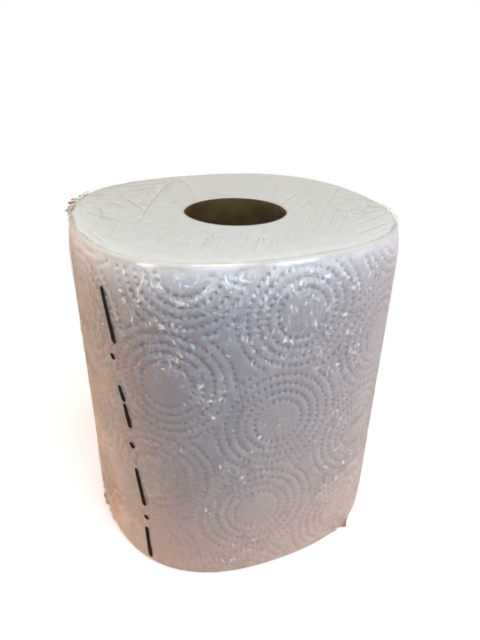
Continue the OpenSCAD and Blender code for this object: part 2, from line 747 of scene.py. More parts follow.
@dataclass(frozen=True)
class KraftFinish:
    """Brown board wound in a spiral, with a seam at each turn."""

    pale: Colour = (0.17, 0.092, 0.013, 1.0)
    dark: Colour = (0.095, 0.048, 0.005, 1.0)
    seam_pitch: float = 95.0
    seam_share: float = 0.012
    seam_depth: float = 2.0
    fibre_scale: float = 600.0
    clump_span: Pair = (0.3, 0.7)
    grain: float = 0.3
    grain_depth: float = 0.2

    def material(self, axis: Pair) -> bpy.types.Material:
        """Builds the material.

        Args:
            axis: Place of the core's axis in plan, in metres.

        Returns:
            The material.
        """
        material, make = new_material("kraft_board")
        place = make.place()
        centred = make.add("Mapping", Vector=place, Location=(-axis[0], -axis[1], 0.0)).outputs[0]
        turn = make.add("TexGradient", Vector=centred)
        turn.gradient_type = "RADIAL"
        rise = make.math("DIVIDE", make.height(centred), self.seam_pitch * MM)
        along = make.math("FRACT", make.math("ADD", turn.outputs["Fac"], rise))
        seam = make.math("LESS_THAN", along, self.seam_share)
        fibres = add_fibres(make, place, self.fibre_scale)
        clumps = make.spread(fibres.outputs["Clumps"], *self.clump_span)
        colour = make.blend(make.math("MAXIMUM", clumps, seam), self.pale, self.dark)
        groove = make.math("MULTIPLY", seam, self.seam_depth)
        height = make.math("SUBTRACT", fibres.outputs["Height"], groove)
        bump = make.add("Bump", Strength=self.grain, Distance=self.grain_depth * MM, Height=height)
        shader = make.add(
            "BsdfPrincipled", Base_Color=colour, Roughness=0.85, Specular_IOR_Level=0.1,
            Normal=bump.outputs["Normal"],
        )
        make.end("OutputMaterial", shader)
        return material


@dataclass(frozen=True)
class FilmFinish:
    """Clear shrunk film: it lets light through, mirrors at a slant, is milkier in its folds, and is tinted
    darker and warm there as painted shade.
    """

    mark: str = "gathered"
    ior: float = 1.62
    most: float = 0.22
    roughness: float = 0.15
    milk: Colour = (0.9, 0.9, 0.9, 1.0)
    haze: float = 0.003
    fold_haze: float = 0.6
    # Painted shade tint of the light through the folds and ears.
    fold_shade_tint: Colour = (0.78, 0.71, 0.63, 1.0)
    loose_haze: float = 0.11
    loose_scale: float = 20.0
    loose_span: Pair = (0.53, 0.61)
    top: float = 195.0
    top_band: float = 3.0
    top_dull: float = 0.88
    live_span: Pair = (0.01, 0.06)
    crinkle: float = 1.2
    crinkle_scale: float = 850.0
    crinkle_stretch: Triple = (1.0, 1.0, 0.6)
    sway: float = 8.0
    sway_scale: float = 110.0
    patch_scale: float = 34.0
    patch_span: Pair = (0.36, 0.62)
    upper_from: float = 0.6
    upper_more: float = 0.12
    calm: float = 0.95
    calm_span: Pair = (0.01, 0.05)
    crumples: tuple[Triple, ...] = ((72.0, -62.0, 66.0), (-88.0, -24.0, 42.0))
    crumple_r: float = 36.0
    crumple_core: float = 0.4

    def on_top(self, make: NodeMaker, height: Socket, to: float) -> Socket:
        """Rises from 0 on the side to a value on the taut top."""
        return make.spread(height, self.top * MM, (self.top + self.top_band) * MM, to)

    def facets(self, make: NodeMaker, place: Socket, folds: Socket) -> Socket:
        """Small facets of crinkled film, in patches of the side, hardly on folds and on the top.

        Args:
            make: The material's node maker.
            place: Place on the object.
            folds: Share by which the film is gathered.

        Returns:
            The facets' normal.
        """
        sway = make.add("TexNoise", Vector=place, Scale=self.sway_scale, Detail=2.0).outputs["Color"]
        bent = make.vector("ADD", place, make.vector("SCALE", sway, self.sway * MM))
        stretched = make.vector("MULTIPLY", bent, self.crinkle_stretch)
        cells = make.add("TexVoronoi", Vector=stretched, Scale=self.crinkle_scale).outputs["Color"]
        lean = make.vector("SUBTRACT", cells, (0.5, 0.5, 0.5))
        patches = make.add("TexNoise", Vector=place, Scale=self.patch_scale, Detail=2.0).outputs["Fac"]
        height = make.height(place)
        higher = make.spread(height, self.upper_from * self.top * MM, self.top * MM, self.upper_more)
        crowded = make.spread(make.math("ADD", patches, higher), *self.patch_span)
        for spot in self.crumples:
            away = make.length(make.vector("SUBTRACT", place, tuple(MM * x for x in spot)))
            outside = make.spread(away, self.crumple_core * self.crumple_r * MM, self.crumple_r * MM)
            crowded = make.math("MAXIMUM", crowded, make.rest(outside))
        side = make.rest(self.on_top(make, height, self.calm))
        open_film = make.rest(make.spread(folds, *self.calm_span, self.calm))
        patch = make.math("MULTIPLY", make.math("MULTIPLY", crowded, side), open_film)
        tilt = make.math("MULTIPLY", patch, self.crinkle)
        plain = make.add("NewGeometry").outputs["Normal"]
        return make.vector("NORMALIZE", make.vector("ADD", plain, make.vector("SCALE", lean, tilt)))

    def material(self) -> bpy.types.Material:
        """Builds the material.

        Returns:
            The material.
        """
        material, make = new_material("clear_film")
        place, folds = make.place(), make.mark(self.mark)
        height = make.height(place)
        facet = self.facets(make, place, folds)
        # Painted shade: the light through the folds and ears is tinted darker and warm, as if shade lay in
        # them.
        clear = make.add("BsdfTransparent", Color=make.blend(folds, WHITE, self.fold_shade_tint))
        milk = make.add("BsdfDiffuse", Color=self.milk)
        milky = make.math("MULTIPLY", folds, make.rest(folds))
        loose = make.add("TexNoise", Vector=place, Scale=self.loose_scale, Detail=5.0, Roughness=0.6)
        apart = make.spread(loose.outputs["Fac"], *self.loose_span, self.loose_haze)
        side = make.math("LESS_THAN", height, self.top * MM)
        base = make.math("ADD", self.haze, make.math("MULTIPLY", apart, side))
        haze = make.math("ADD", base, make.math("MULTIPLY", milky, self.fold_haze))
        body = make.layer(haze, clear, milk)
        gloss = make.add("BsdfGlossy", Roughness=self.roughness, Normal=facet)
        slant = make.add("Fresnel", IOR=self.ior, Normal=facet).outputs[0]
        outer = make.rest(make.add("NewGeometry").outputs["Backfacing"])
        plain = make.rest(make.spread(folds, *self.live_span))
        dull = make.math("MULTIPLY", self.on_top(make, height, self.top_dull), plain)
        live = make.math("MULTIPLY", outer, make.rest(dull))
        share = make.math("MULTIPLY", make.math("MINIMUM", slant, self.most), live)
        make.end("OutputMaterial", make.layer(share, body, gloss))
        return material


@dataclass(frozen=True)
class InkFinish:
    """Near-black print with paler streaks where it is thin."""

    full: Colour = (0.014, 0.008, 0.005, 1.0)
    thin: Colour = (0.050, 0.028, 0.016, 1.0)
    streak_scale: float = 700.0
    streak_span: Pair = (0.45, 0.75)

    def material(self) -> bpy.types.Material:
        """Builds the material.

        Returns:
            The material.
        """
        material, make = new_material("dark_ink")
        noise = make.add("TexNoise", Vector=make.place(), Scale=self.streak_scale)
        colour = make.blend(make.spread(noise.outputs["Fac"], *self.streak_span), self.full, self.thin)
        shader = make.add("BsdfPrincipled", Base_Color=colour, Roughness=0.6, Specular_IOR_Level=0.05)
        make.end("OutputMaterial", shader)
        return material


@dataclass
class PaperRoll:
    """The wound sheet: embossed side, soft rims, ends with the turns showing, and the bore."""

    form: RollForm
    emboss: Emboss
    finish: TissueFinish
    columns: int = 144
    rows: int = 50
    fill_apart: float = 2.6
    dot_depths: Pair = (0.8, 1.1)
    dot_rings: Pair = (0.52, 0.98)
    dot_round: float = 1.3
    edge_soft: float = 1.5
    edge_shares: tuple[float, ...] = (0.0, 0.35, 0.7, 1.0)
    edge_ease: float = 3.0
    bore_r: float = 29.8
    tail_step: float = 0.35
    tail_ease: float = 4.0
    margin: float = 1.8
    top_turns: int = 27
    base_turns: int = 10
    turn_depth: float = 0.4
    groove_depths: Pair = (0.4, 1.3)
    crown_depths: Pair = (0.0, 0.3)
    sway_once: float = 0.0025
    sway_thrice: float = 0.0015

    def __post_init__(self) -> None:
        """Leaves room for the soft rims."""
        self.side_low = self.form.low + self.edge_soft
        self.side_high = self.form.high - self.edge_soft

    def from_rim(self, z: np.ndarray, ease: float) -> np.ndarray:
        """Eases from 0 at both rims of the side to 1."""
        return smooth_step(0.0, ease, np.minimum(z - self.side_low, self.side_high - z))

    def tail(self, flat: np.ndarray) -> np.ndarray:
        """Lift of the last turn, which leaves the sheet's tail edge at the back.

        Args:
            flat: Points of the unrolled side.

        Returns:
            The lift at each point.
        """
        start, stop = self.form.ends
        around = (flat[:, 0] - start) / (stop - start) - 0.5
        return self.tail_step * self.from_rim(flat[:, 1], self.tail_ease) * around

    def side(self) -> tuple[np.ndarray, np.ndarray, np.ndarray]:
        """The embossed side.

        Returns:
            Its points, their pressed share from 0 to 1, and its triangles.
        """
        e = self.emboss
        start, stop = self.form.ends
        low = np.array([start, self.side_low]) + self.margin
        high = np.array([stop, self.side_high]) - self.margin
        dots = e.dots(low, high)
        depth = np.random.default_rng(SEED).uniform(*self.dot_depths, len(dots))
        outline = circle(np.arange(e.dot_sides) * FULL_TURN / e.dot_sides)
        points, pressed = [dots], [depth]
        for out in self.dot_rings:
            points.append((dots[:, None, :] + out * e.dot_r * outline[None, :, :]).reshape(-1, 2))
            pressed.append(np.repeat(depth, e.dot_sides) * (1.0 - out * out) ** self.dot_round)
        crowns = e.crowns(low, high, dots)
        across = np.linspace(start, stop, self.columns + 1)
        up = np.linspace(self.side_low, self.side_high, self.rows + 1)
        taken = np.concatenate([dots, crowns])
        fill = thin_out(grid_points(across[1:-1], up[1:-1]), self.fill_apart, taken)
        flat = np.concatenate(points + [crowns, fill, border_points(across, up)])
        share = np.zeros(len(flat))
        share[: sum(len(p) for p in pressed)] = np.concatenate(pressed)
        kept, faces = triangulate(flat)
        flat, share = flat[kept], share[kept]
        pillows = e.swell(flat) * self.from_rim(flat[:, 1], self.edge_ease)
        lift = pillows - e.dot_depth * share + self.tail(flat)
        LOG.info("embossed side: %d dots, %d triangles", len(dots), len(faces))
        return self.form.wrap(flat, lift), share, faces

    def end(self, face: Face) -> np.ndarray:
        """Rings of one end, from the side's edge over the rim to the bore.

        Args:
            face: Which end.

        Returns:
            The points, ring after ring.
        """
        rng = np.random.default_rng(SEED + len(face.value))
        angle = self.form.columns(self.columns)
        is_top = face is Face.TOP
        sign, level = (1.0, self.form.high) if is_top else (-1.0, self.form.low)
        turn_in = sign * self.edge_soft
        rings = self.form.rim(angle, level - turn_in, turn_in, self.edge_shares)
        rim = rings[-1][:, :2]
        bore = np.array(self.form.core_place) + self.bore_r * circle(angle)
        steps = 2 * (self.top_turns if is_top else self.base_turns)
        for k in range(1, steps + 1):
            once, thrice = rng.uniform(0.0, FULL_TURN, 2)
            sway = self.sway_once * np.sin(angle + once) + self.sway_thrice * np.sin(3.0 * angle + thrice)
            t = np.clip(k / steps + sway * (k < steps), 0.0, 1.0)[:, None]
            depth = self.turn_depth * rng.uniform(*(self.groove_depths if k % 2 else self.crown_depths))
            z = np.full(len(angle), level - sign * depth)
            rings.append(np.column_stack([rim * (1.0 - t) + bore * t, z]))
        return np.concatenate(rings)

    def build(self) -> bpy.types.Object:
        """Makes the roll and dresses it.

        Returns:
            The roll.
        """
        points, share, triangles = self.side()
        parts, faces, first, bores = [points], [triangles], len(points), []
        for face in Face:
            rings = self.end(face)
            faces.append(ring_faces(self.columns, len(rings) // self.columns, first))
            parts.append(rings)
            first += len(rings)
            bores.append(first - self.columns + np.arange(self.columns))
        top, base = bores
        faces.append(np.stack([top, np.roll(top, -1), np.roll(base, -1), base], axis=1))
        marks = np.concatenate([share, np.zeros(first - len(share))])
        piece = new_piece("embossed_paper_roll", np.concatenate(parts), faces, self.finish.mark, marks)
        hand_over(piece, "paper_roll", self.finish.material())
        return piece


@dataclass
class CardboardCore:
    """The tube that the sheet is wound on."""

    finish: KraftFinish
    wall: float = 1.2
    sides: int = 96
    steps: int = 12
    edge: float = 0.3
    edge_segments: int = 2
    smooth_under: float = math.radians(40.0)

    def build(self) -> bpy.types.Object:
        """Makes the tube from an extruded circle, gives it its wall and dresses it.

        Returns:
            The tube.
        """
        low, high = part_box("cardboard_core")
        middle = (low + high) / 2.0
        deselect_all()
        bpy.ops.mesh.primitive_circle_add(
            vertices=self.sides, radius=(high.x - low.x) / 2.0, location=(middle.x, middle.y, low.z)
        )
        piece = bpy.context.object
        piece.name = piece.data.name = "kraft_core"
        bpy.ops.object.transform_apply(location=True, rotation=True, scale=True)
        bpy.ops.object.mode_set(mode="EDIT")
        bpy.ops.mesh.select_all(action="SELECT")
        rise = (high.z - low.z) / self.steps
        for _ in range(self.steps):
            bpy.ops.mesh.extrude_region_move(TRANSFORM_OT_translate={"value": (0.0, 0.0, rise)})
        bpy.ops.object.mode_set(mode="OBJECT")
        face_outwards(piece)
        thicken(piece, "wall", self.wall, -1.0)
        bevel = piece.modifiers.new("edges", "BEVEL")
        bevel.width = self.edge * MM
        bevel.segments = self.edge_segments
        bevel.limit_method = "ANGLE"
        apply_modifiers(piece)
        bpy.ops.object.shade_smooth_by_angle(angle=self.smooth_under)
        hand_over(piece, "cardboard_core", self.finish.material((middle.x, middle.y)))
        return piece


@dataclass(frozen=True)
class Fold:
    """A raised fold of the film along a line."""

    rise: float
    width: float
    path: tuple[Pair, ...]
    fewest: int = 5
    easings: int = 3
    flanks: tuple[float, ...] = (0.0, -0.45, 0.45, -1.0, 1.0)
    fine_spacing: float = 0.8
    flank_power: float = 1.3
    tip: float = 0.02
    taper_power: float = 0.6

    def crest(self, spacing: float) -> np.ndarray:
        """Points along the line, its corners eased.

        Args:
            spacing: Distance between neighbours.

        Returns:
            The points, two columns.
        """
        corners = np.array(self.path, dtype=float)
        at = np.concatenate([[0.0], np.cumsum(np.linalg.norm(np.diff(corners, axis=0), axis=1))])
        t = np.linspace(0.0, at[-1], max(self.fewest, round(at[-1] / spacing) + 1))
        line = np.column_stack([np.interp(t, at, corners[:, k]) for k in (0, 1)])
        for _ in range(self.easings):
            line[1:-1] = 0.25 * line[:-2] + 0.5 * line[1:-1] + 0.25 * line[2:]
        return line

    def points(self, spacing: float) -> np.ndarray:
        """Points on the crest and on both flanks.

        Args:
            spacing: Distance between neighbours along the fold.

        Returns:
            The points, two columns.
        """
        crest = self.crest(spacing)
        along = np.gradient(crest, axis=0)
        along /= np.linalg.norm(along, axis=1)[:, None]
        side = self.width * np.stack([-along[:, 1], along[:, 0]], axis=1)
        return np.concatenate([crest + x * side for x in self.flanks])

    def height(self, points: np.ndarray) -> np.ndarray:
        """Height of the fold over the plane.

        Args:
            points: Plane points.

        Returns:
            The height at each point.
        """
        crest = self.crest(self.fine_spacing)
        near = (points > crest.min(axis=0) - self.width) & (points < crest.max(axis=0) + self.width)
        near = np.flatnonzero(near.all(axis=1))
        result = np.zeros(len(points))
        if len(near):
            gaps = np.linalg.norm(points[near][:, None, :] - crest[None, :, :], axis=2)
            index = gaps.argmin(axis=1)
            flank = np.clip(1.0 - gaps[np.arange(len(near)), index] / self.width, 0.0, 1.0)
            along = np.clip(index / (len(crest) - 1), self.tip, 1.0 - self.tip)
            taper = np.sin(math.pi * along) ** self.taper_power
            result[near] = self.rise * flank**self.flank_power * taper
        return result


@dataclass(frozen=True)
class FoldKind:
    """Ranges of rise and width from which small folds of one kind are drawn."""

    rise: Pair
    width: Pair

    def draw(self, rng: np.random.Generator, *path: Pair) -> Fold:
        """Draws one fold along a path."""
        return Fold(rng.uniform(*self.rise), rng.uniform(*self.width), path)


SIDE_FOLDS = (
    Fold(1.6, 2.4, ((-3, 197), (-1, 193), (2, 185))),
    Fold(0.6, 1.2, ((-24, 186), (-18, 185), (-13, 183), (-5, 183))),
    Fold(0.6, 1.1, ((-6, 180), (-1, 180), (3, 181), (8, 181))),
    Fold(0.5, 1.1, ((-16, 178), (-9, 179), (-2, 177))),
    Fold(0.6, 1.2, ((-33, 162), (-26, 171))),
    Fold(0.6, 1.2, ((-55, 154), (-48, 162), (-47, 166))),
    Fold(0.6, 1.2, ((-51, 136), (-44, 144), (-38, 152))),
    Fold(0.5, 1.2, ((-47, 148), (-35, 160))),
    Fold(0.5, 1.0, ((-62, 157), (-56, 153), (-62, 147))),
    Fold(0.5, 1.0, ((32, 167), (36, 164), (40, 163))),
    Fold(0.6, 1.4, ((39, 167), (47, 161), (54, 154), (63, 156))),
    Fold(0.5, 1.1, ((41, 152), (49, 145), (57, 139))),
    Fold(0.5, 1.1, ((58, 166), (68, 167), (85, 164))),
    Fold(0.7, 1.3, ((65, 139), (71, 139), (80, 141))),
    Fold(0.6, 1.2, ((65, 139), (71, 132), (77, 124))),
    Fold(1.0, 1.5, ((77, 88), (83, 92), (94, 93))),
    Fold(0.6, 1.6, ((1, 142), (4, 125), (8, 107), (13, 89), (16, 73), (16, 56))),
    Fold(0.5, 1.2, ((6, 143), (8, 129), (9, 111), (14, 91))),
    Fold(0.5, 1.0, ((25, 111), (28, 97), (31, 88))),
    Fold(0.6, 1.0, ((71, 84), (74, 86))),
    Fold(1.0, 1.5, ((75, 73), (81, 75), (89, 78))),
    Fold(0.7, 1.0, ((54, 63), (58, 66))),
    Fold(0.7, 1.1, ((62, 61), (65, 63), (68, 65))),
    Fold(1.4, 1.9, ((54, 46), (58, 50), (65, 52), (73, 54))),
    Fold(1.2, 1.7, ((67, 50), (77, 57), (84, 61))),
    Fold(1.1, 1.6, ((78, 25), (85, 17))),
    Fold(1.2, 1.7, ((84, 57), (90, 64))),
    Fold(2.2, 3.6, ((-112, 52), (-99, 40), (-86, 34), (-82, 26), (-77, 13))),
    Fold(1.8, 3.0, ((-112, 30), (-100, 24), (-88, 18), (-84, 9))),
    Fold(1.4, 2.6, ((-108, 66), (-96, 50), (-84, 44), (-76, 30))),
)
TOP_FOLDS = (
    Fold(0.72, 0.98, ((-38, 71), (-45, 42), (-47, 14), (-48, -11), (-48, -41))),
    Fold(0.54, 0.91, ((-38, 71), (-28, 45), (-24, 27), (-24, 14))),
    Fold(0.48, 0.85, ((-53, 46), (-49, 30), (-48, 6), (-48, -11))),
    Fold(0.42, 0.85, ((-53, 46), (-53, 13), (-54, -4))),
    Fold(0.48, 0.85, ((-48, -11), (-57, 0), (-62, 13), (-58, 18), (-49, 14))),
    Fold(0.48, 0.98, ((-76, 25), (-61, 8), (-50, -9))),
    Fold(0.42, 0.91, ((-77, 4), (-65, -2), (-54, -11))),
    Fold(0.54, 1.04, ((-88, -9), (-83, -13), (-75, -21), (-58, -33), (-51, -26))),
    Fold(0.48, 0.98, ((-78, 2), (-70, -21), (-69, -31))),
    Fold(0.48, 0.98, ((-70, -50), (-62, -60), (-55, -71))),
    Fold(0.42, 0.91, ((-60, -58), (-57, -46), (-52, -35))),
    Fold(0.36, 0.85, ((-59, -29), (-59, -58))),
    Fold(0.42, 0.91, ((-82, 40), (-64, 44), (-54, 54))),
    Fold(0.42, 0.91, ((-81, 31), (-66, 29), (-54, 40))),
    Fold(0.36, 0.91, ((-45, 30), (-39, 31), (-28, 31))),
    Fold(0.42, 0.85, ((-42, -3), (-35, 7), (-24, 15))),
    Fold(0.48, 0.98, ((-95, 11), (-87, 4), (-78, 2))),
    Fold(0.48, 0.98, ((-91, 27), (-83, 19), (-76, 25))),
    Fold(0.45, 0.75, ((-33, -54), (-33, -70))),
    Fold(0.45, 0.75, ((-25, -50), (-26, -60))),
    Fold(0.50, 0.75, ((-10, -52), (-12, -73))),
    Fold(0.45, 0.75, ((-7, -41), (-9, -66))),
    Fold(0.15, 0.60, ((7, 79), (2, 28), (-1, -3))),
    Fold(0.15, 0.60, ((7, 35), (6, 9), (6, -25))),
    Fold(0.15, 0.60, ((4, 17), (2, -25))),
    Fold(0.42, 0.78, ((48, 49), (35, 19), (26, -3))),
    Fold(0.36, 0.72, ((46, 39), (31, -6), (25, -24))),
    Fold(0.48, 0.85, ((59, 23), (49, 0), (38, -40))),
    Fold(0.48, 0.85, ((61, 21), (53, -9), (44, -42))),
    Fold(0.36, 0.72, ((51, 28), (39, -6))),
    Fold(0.42, 0.78, ((69, 21), (57, -16), (49, -44))),
    Fold(0.54, 0.85, ((72, 10), (66, -9), (63, -24))),
    Fold(0.42, 0.78, ((62, -22), (54, -46))),
    Fold(0.48, 0.91, ((94, 2), (87, 14), (71, 29))),
    Fold(0.48, 0.91, ((94, 1), (83, 3), (70, 1))),
    Fold(0.48, 0.91, ((94, 0), (79, -6), (66, -25))),
    Fold(0.48, 0.91, ((94, -2), (79, -19), (65, -34))),
    Fold(0.54, 0.91, ((90, -22), (75, -37), (58, -52))),
    Fold(0.48, 0.85, ((88, -29), (76, -43), (62, -56))),
    Fold(0.42, 0.85, ((92, 11), (84, 19), (71, 21))),
    Fold(0.42, 0.85, ((86, 9), (74, -8), (69, -13))),
    Fold(0.50, 0.75, ((17, -41), (12, -74))),
    Fold(0.45, 0.75, ((18, -37), (17, -63))),
    Fold(0.48, 0.91, ((30, 64), (28, 46))),
)


@dataclass(frozen=True)
class Ear:
    """A gathered corner of the film that stands out of a rim, with waves as size, rate and start."""

    face: Face
    middle: float
    spread: float
    out: float
    plain: float = 0.6
    waves: tuple[Triple, ...] = ((0.25, 0.55, 0.0), (0.25, 1.3, 1.0))

    def reach(self, angle: np.ndarray) -> np.ndarray:
        """Reach beyond the rim.

        Args:
            angle: Directions in radians.

        Returns:
            The reach in each direction.
        """
        gap = (np.degrees(angle) - self.middle + 180.0) % 360.0 - 180.0
        crumple = self.plain
        for size, rate, start in self.waves:
            crumple = crumple + size * np.sin(gap * rate + start)
        return self.out * np.exp(-2.0 * (gap / self.spread) ** 2) * crumple


@dataclass
class FilmWrap:
    """The clear film bag: taut sides, a top drawn into folds, and gathered ears."""

    form: RollForm
    finish: FilmFinish
    grow: float = 0.45
    thickness: float = 0.05
    columns: int = 288
    rows: int = 34
    column_skip: int = 3
    rim: float = 2.4
    rim_steps: int = 6
    end_reach: float = 99.0
    pitch: float = 6.0
    spacing: float = 1.5
    apart: float = 0.3
    flat_cut: Pair = (300.0, 700.0)
    hem: float = 0.8
    fold_mark: float = 0.12
    fold_full: float = 0.8
    rim_mark: float = 0.12
    ear_full: float = 3.0
    hole_r: float = 31.0
    ripple: FoldKind = FoldKind((0.2, 0.45), (1.2, 2.0))
    loose: FoldKind = FoldKind((0.15, 0.4), (0.7, 1.2))
    crumple: FoldKind = FoldKind((0.15, 0.5), (0.5, 0.9))
    pleat: FoldKind = FoldKind((0.2, 0.5), (0.5, 0.9))
    taut: FoldKind = FoldKind((0.1, 0.35), (0.5, 0.9))
    front: FoldKind = FoldKind((0.12, 0.35), (0.5, 0.9))
    ears: tuple[Ear, ...] = (
        Ear(Face.TOP, 172.0, 26.0, 5.0),
        Ear(Face.TOP, 2.0, 16.0, 2.2),
        Ear(Face.BASE, -36.0, 6.0, 4.5),
        Ear(Face.BASE, 200.0, 20.0, 3.0),
    )

    def __post_init__(self) -> None:
        """Leaves room for the film round the paper."""
        self.low = self.thickness
        self.high = self.form.high + self.grow
        self.side_low = self.low + self.rim
        self.side_high = self.high - self.rim

    def ripples(self, rng: np.random.Generator) -> list[Fold]:
        """Level ripples one above another at the left of the side.

        Args:
            rng: Source of the random draws.

        Returns:
            The folds.
        """
        heights, starts, lengths, slope = (52.0, 186.0, 6.5), (-122.0, -104.0), (10.0, 24.0), 2.0
        folds = []
        for z in np.arange(*heights):
            s, long, dz = rng.uniform(*starts), rng.uniform(*lengths), rng.normal(0.0, slope)
            folds.append(self.ripple.draw(rng, (s, z), (s + long, z + dz)))
        return folds

    def loose_folds(self, rng: np.random.Generator) -> list[Fold]:
        """Short folds all over the side, which lean one way at the left and the other at the right.

        Args:
            rng: Source of the random draws.

        Returns:
            The folds.
        """
        count, from_seam, from_rim, lengths, most_rise = 90, 14.0, 9.0, (5.0, 16.0), 7.5
        right_turn, left_turn, turn_spread = 0.7, 2.4, 0.45
        start, stop = self.form.ends
        folds = []
        for _ in range(count):
            s = rng.uniform(start + from_seam, stop - from_seam)
            z = rng.uniform(self.side_low + from_rim, self.side_high - from_rim)
            turn = rng.normal(right_turn if s > 0 else left_turn, turn_spread)
            half = 0.5 * rng.uniform(*lengths)
            ds, dz = half * math.cos(turn), min(most_rise, half * math.sin(turn))
            folds.append(self.loose.draw(rng, (s - ds, z - dz), (s + ds, z + dz)))
        return folds

    @cached_property
    def side_folds(self) -> list[Fold]:
        """Folds of the unrolled side: the plain ones to see, ripples at the left and loose small ones.

        Returns:
            The folds.
        """
        rng = np.random.default_rng(SEED)
        folds = list(SIDE_FOLDS)
        for draw in (self.ripples, self.loose_folds):
            folds += draw(rng)
        return folds

    def crumples(self, rng: np.random.Generator) -> list[Fold]:
        """Short folds in all directions at the left of the top.

        Args:
            rng: Source of the random draws.

        Returns:
            The folds.
        """
        count, x_span, y_span, lengths = 46, (-88.0, -44.0), (-52.0, 48.0), (6.0, 20.0)
        folds = []
        for _ in range(count):
            x, y = rng.uniform(*x_span), rng.uniform(*y_span)
            turn, half = rng.uniform(0.0, math.pi), 0.5 * rng.uniform(*lengths)
            dx, dy = half * math.cos(turn), half * math.sin(turn)
            folds.append(self.crumple.draw(rng, (x - dx, y - dy), (x + dx, y + dy)))
        return folds

    def pleats(self, rng: np.random.Generator) -> list[Fold]:
        """Folds that fan out from the right ear over the top.

        Args:
            rng: Source of the random draws.

        Returns:
            The folds.
        """
        turns, right, deep, wide, lengths = (120.0, 240.0, 12), 93.0, 3.0, 18.0, (14.0, 40.0)
        folds = []
        for turn in np.radians(np.linspace(*turns)):
            begin = np.array([right + deep * math.cos(turn), wide * math.sin(turn)])
            stop = begin + rng.uniform(*lengths) * np.array([math.cos(turn), math.sin(turn)])
            folds.append(self.pleat.draw(rng, tuple(begin), tuple(stop)))
        return folds

    def taut_folds(self, rng: np.random.Generator) -> list[Fold]:
        """Thin folds drawn tight from front to back, which lean more to the right, clear of the hole.

        Args:
            rng: Source of the random draws.

        Returns:
            The folds.
        """
        places, middles, lengths, shortest = (-34.0, 78.0, 38), (-40.0, 40.0), (16.0, 56.0), 8.0
        least_lean, more_lean, lean_from, lean_over, lean_spread = 0.06, 0.26, 20.0, 80.0, 0.03
        round_r, crest_spacing = 84.0, 2.0
        folds = []
        for x in np.linspace(*places):
            lean = least_lean + more_lean * max(0.0, (x + lean_from) / lean_over)
            lean += rng.normal(0.0, lean_spread)
            middle, half = rng.uniform(*middles), 0.5 * rng.uniform(*lengths)
            limit = math.sqrt(round_r**2 - x * x)
            low, high = max(-limit, middle - half), min(limit, middle + half)
            fold = self.taut.draw(rng, (x + lean * low, low), (x + lean * high, high))
            away = np.linalg.norm(fold.crest(crest_spacing) - np.array(self.form.core_place), axis=1).min()
            if high - low > shortest and away > self.hole_r:
                folds.append(fold)
        return folds

    def front_folds(self, rng: np.random.Generator) -> list[Fold]:
        """Thin folds that run in from the front of the top.

        Args:
            rng: Source of the random draws.

        Returns:
            The folds.
        """
        places, lows, lengths, most_high = (-44.0, 58.0, 26), (-78.0, -52.0), (10.0, 26.0), -40.0
        middle_lean, lean_rate, lean_spread = 0.1, 0.003, 0.05
        folds = []
        for x in np.linspace(*places):
            low, long = rng.uniform(*lows), rng.uniform(*lengths)
            lean = middle_lean + lean_rate * x + rng.normal(0.0, lean_spread)
            high = min(low + long, most_high)
            folds.append(self.front.draw(rng, (x + lean * low, low), (x + lean * high, high)))
        return folds

    @cached_property
    def top_folds(self) -> list[Fold]:
        """Folds of the top in plan: the plain ones to see, crumples at both ears and taut thin ones.

        Returns:
            The folds.
        """
        rng = np.random.default_rng(SEED + 1)
        folds = list(TOP_FOLDS)
        for draw in (self.crumples, self.pleats, self.taut_folds, self.front_folds):
            folds += draw(rng)
        return folds

    def heights(self, flat: np.ndarray, folds: Sequence[Fold]) -> np.ndarray:
        """Height of the folds over the plane.

        Args:
            flat: Plane points.
            folds: The folds.

        Returns:
            The height at each point.
        """
        total = np.zeros(len(flat))
        for fold in folds:
            total += fold.height(flat)
        return total

    def crease(
        self, flat: np.ndarray, folds: Sequence[Fold], fixed: int
    ) -> tuple[np.ndarray, np.ndarray, np.ndarray]:
        """Joins plane points with triangles and raises the folds on them.

        Args:
            flat: Plane points, those of the border first.
            folds: The folds.
            fixed: Number of border points, which stay level.

        Returns:
            The points in the mesh's order, the height of the folds there, and the triangles.
        """
        kept, faces = triangulate(flat)
        rise = self.heights(flat, folds)
        rise[:fixed] = 0.0
        return flat[kept], rise[kept], faces

    def side(self) -> tuple[np.ndarray, np.ndarray, np.ndarray]:
        """The film round the roll.

        Returns:
            Its points, the height of the folds there, and its triangles.
        """
        start, stop = self.form.ends
        across = np.linspace(start, stop, self.columns + 1)
        up = np.linspace(self.side_low, self.side_high, self.rows + 1)
        edge = border_points(across, up)
        hem = grid_points(across[1:-1], np.array([up[0] + self.hem, up[-1] - self.hem]))
        fill = grid_points(across[self.column_skip : -self.column_skip : self.column_skip], up[1:-1])
        inner = np.concatenate([f.points(self.spacing) for f in self.side_folds] + [fill])
        gap = 2.0 * self.hem
        room = (inner > (start + gap, self.side_low + gap)) & (inner < (stop - gap, self.side_high - gap))
        flat = np.concatenate([edge, hem, thin_out(inner[room.all(axis=1)], self.apart)])
        flat, rise, faces = self.crease(flat, self.side_folds, len(edge))
        return self.form.wrap(flat, self.grow + rise), rise, faces

    def ear_reach(self, face: Face) -> np.ndarray:
        """Reach of the ears at each column of a rim."""
        angle = self.form.columns(self.columns)
        return sum(e.reach(angle) for e in self.ears if e.face is face)

    def ear_share(self, face: Face) -> np.ndarray:
        """Share from 0 to 1 by which the film is gathered into ears at each column of a rim."""
        return np.clip(self.ear_reach(face) / self.ear_full, 0.0, 1.0)

    def rim_rings(self, face: Face) -> np.ndarray:
        """Rings over one rim, from the side to the end.

        Args:
            face: Which end.

        Returns:
            The points, ring after ring.
        """
        angle = self.form.columns(self.columns)
        edge, turn_in = (self.side_high, self.rim) if face is Face.TOP else (self.side_low, -self.rim)
        shares = np.linspace(0.0, 1.0, self.rim_steps + 1)
        return np.concatenate(self.form.rim(angle, edge, turn_in, shares, self.grow, self.ear_reach(face)))

